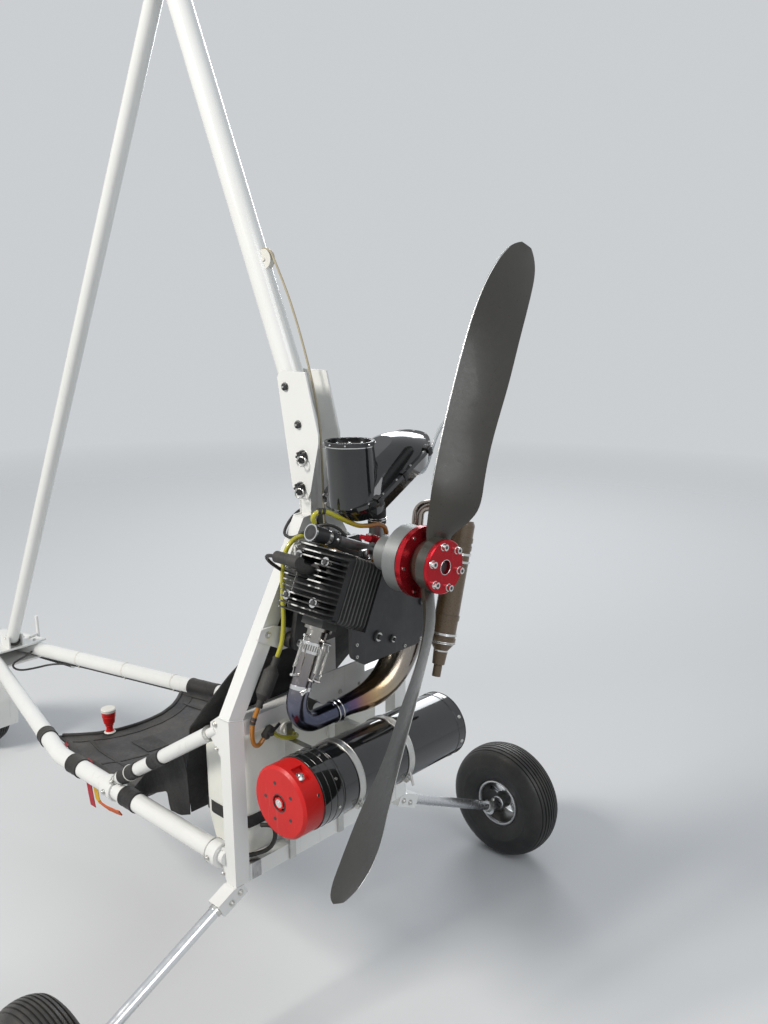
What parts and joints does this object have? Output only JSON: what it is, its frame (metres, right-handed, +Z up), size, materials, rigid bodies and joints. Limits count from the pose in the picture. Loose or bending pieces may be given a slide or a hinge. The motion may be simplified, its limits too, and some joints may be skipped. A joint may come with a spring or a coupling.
{
  "type": "ultralight aircraft",
  "caption": "Single-seat ultralight trike unit on tricycle wheels, with pusher engine and propeller, sling seat and a mast to hang a flexible wing from.",
  "frame": {"origin": "on the ground under the middle of the whole trike unit", "axes": "+Z up, -Y forward, +X to the pilot's left"},
  "size_m": [1.42, 2.1713, 2.2159],
  "materials": {
    "white": "white gloss paint",
    "alu": "polished",
    "steel": "satin",
    "tyre": "ribbed rubber",
    "rubber": "black rubber",
    "red": "red anodised",
    "fabric": "black woven cloth",
    "tank": "translucent white polyethylene",
    "black_metal": "black satin paint",
    "fins": "black with bare fin edges",
    "grey_metal": "grey cast",
    "black_gloss": "black gloss",
    "exhaust": "heat tinted",
    "weave": "brown woven composite",
    "carbon": "dark satin composite",
    "red_plastic": "red",
    "hose": "clear amber"
  },
  "bodies": {
    "frame": {"airbox_lower": "black_gloss", "airbox_upper": "black_gloss", "axle_legs": "alu", "base_tubes": "white", "canister_cap": "red_plastic", "canister_straps": "steel", "carburettor": "grey_metal", "centre_post": "white", "crankcase": "black_metal", "cross_bars": "white", "cylinder_barrel": "fins", "cylinder_head": "fins", "engine_cradle": "black_metal", "engine_plate": "black_metal", "engine_rubbers": "rubber", "exhaust_hanger": "white", "exhaust_header": "exhaust", "expansion_chamber": "exhaust", "front_strut": "white", "fuel_bulb": "rubber", "fuel_hoses": "hose", "fuel_pump": "red", "fuel_tank": "tank", "fuel_tap": "rubber", "hang_block": "alu", "hang_plates": "white", "intake_boot": "rubber", "leg_sockets": "white", "mast": "white", "mast_pins": "black_metal", "mast_side_plates": "white", "mount_plates": "white", "neck_block": "white", "nose_joint": "white", "plug_boot": "rubber", "rear_posts": "white", "reduction_housing": "grey_metal", "rescue_canister": "black_gloss", "rescue_handle": "red_plastic", "seat_back": "fabric", "seat_base": "fabric", "seat_sides": "fabric", "side_braces": "white", "silencer": "weave", "tail_pipe": "exhaust", "throttle_pedal": "white", "tube_brackets": "white", "upper_legs": "white"},
    "nose_fork_body": {"nose_fork": "white", "foot_pegs": "rubber", "mudguard": "white"},
    "nose_wheel": {"nose_rim": "alu", "nose_tyre": "tyre"},
    "left_wheel": {"left_rim": "alu", "left_tyre": "tyre"},
    "right_wheel": {"right_rim": "alu", "right_tyre": "tyre"},
    "propeller_body": {"drive_flange": "red", "propeller": "carbon", "hub_plate": "red"}
  },
  "joints": [
    {"name": "steering", "type": "hinge", "parent": "frame", "child": "nose_fork_body", "pos_m": [0, -0.8385, 0.4], "axis": [0, 0.2588, 0.9659], "range_deg": [-25, 25]},
    {"name": "nose_wheel_spin", "type": "hinge", "parent": "nose_fork_body", "child": "nose_wheel", "pos_m": [0, -0.9315, 0.15], "axis": [1, 0, 0], "continuous": true},
    {"name": "left_wheel_spin", "type": "hinge", "parent": "frame", "child": "left_wheel", "pos_m": [0.66, 0.7355, 0.15], "axis": [1, 0, 0], "continuous": true},
    {"name": "right_wheel_spin", "type": "hinge", "parent": "frame", "child": "right_wheel", "pos_m": [-0.66, 0.7355, 0.15], "axis": [1, 0, 0], "continuous": true},
    {"name": "propeller_spin", "type": "hinge", "parent": "frame", "child": "propeller_body", "pos_m": [0, 1.0435, 1.003], "axis": [0, 1, 0], "continuous": true}
  ]
}
